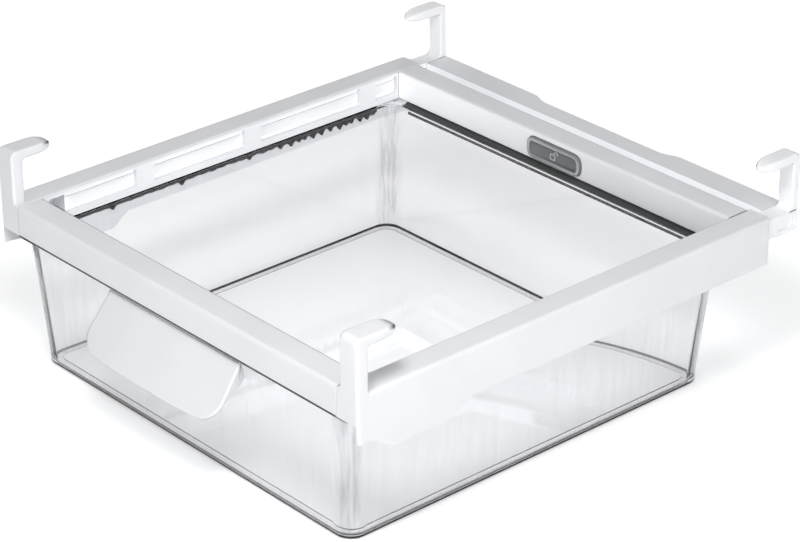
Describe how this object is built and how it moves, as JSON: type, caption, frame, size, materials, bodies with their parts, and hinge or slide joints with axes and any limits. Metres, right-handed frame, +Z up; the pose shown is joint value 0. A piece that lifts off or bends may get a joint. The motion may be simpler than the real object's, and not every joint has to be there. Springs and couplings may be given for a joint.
{
  "type": "fridge drawer organizer",
  "caption": "Clear sliding drawer that hangs under a fridge shelf from a white hooked frame, with an adjustable rear clamp and a grey lock button.",
  "frame": {"origin": "centre of the overall outline at the drawer's base", "axes": "+X to the right seen from the front, +Y from the handle to the rear clamp, +Z up"},
  "size_m": [0.3, 0.335, 0.1261],
  "materials": {
    "white_plastic": "satin white moulded plastic",
    "clear_plastic": "clear moulded plastic",
    "grey_plastic": "grey soft-touch plastic",
    "dark_rubber": "matte rubber",
    "steel": "bright steel"
  },
  "bodies": {
    "frame": {"side_rail_left": "white_plastic", "side_rail_right": "white_plastic", "front_beam": "white_plastic", "back_beam": "white_plastic", "corner_screw_front_left": "steel", "corner_screw_front_right": "steel", "corner_screw_back_left": "steel", "corner_screw_back_right": "steel", "button_spring": "steel"},
    "drawer": {"drawer_bin": "clear_plastic", "drawer_handle": "white_plastic", "handle_rivet_left": "clear_plastic", "handle_rivet_right": "clear_plastic"},
    "rear_clamp": {"rear_plate": "white_plastic", "rear_bracket_left": "white_plastic", "rear_bracket_right": "white_plastic", "bracket_screw_left": "steel", "bracket_screw_right": "steel"},
    "lock_button": {"lock_button": "grey_plastic"},
    "lock_bar_left": {"lock_bar_left": "white_plastic", "lock_pad_left": "dark_rubber"},
    "lock_bar_right": {"lock_bar_right": "white_plastic", "lock_pad_right": "dark_rubber"}
  },
  "joints": [
    {"name": "drawer_slide", "type": "slide", "parent": "frame", "child": "drawer", "axis": [0, -1, 0], "range_m": [0, 0.2]},
    {"name": "clamp_slide", "type": "slide", "parent": "frame", "child": "rear_clamp", "axis": [0, 1, 0], "range_m": [-0.0075, 0.1]},
    {"name": "lock_press", "type": "slide", "parent": "frame", "child": "lock_button", "axis": [0, 1, 0], "range_m": [0, 0.0026], "stiffness_N_per_m": 200, "springref_m": -0.004, "deforming": ["button_spring"]},
    {"name": "lock_bar_left_slide", "type": "slide", "parent": "frame", "child": "lock_bar_left", "axis": [1, 0, 0], "range_m": [0, 0.0026]},
    {"name": "lock_bar_right_slide", "type": "slide", "parent": "frame", "child": "lock_bar_right", "axis": [-1, 0, 0], "range_m": [0, 0.0026]}
  ],
  "couplings": [
    {"joint": "lock_bar_left_slide", "follows": "lock_press", "ratio": 1},
    {"joint": "lock_bar_right_slide", "follows": "lock_press", "ratio": 1}
  ]
}
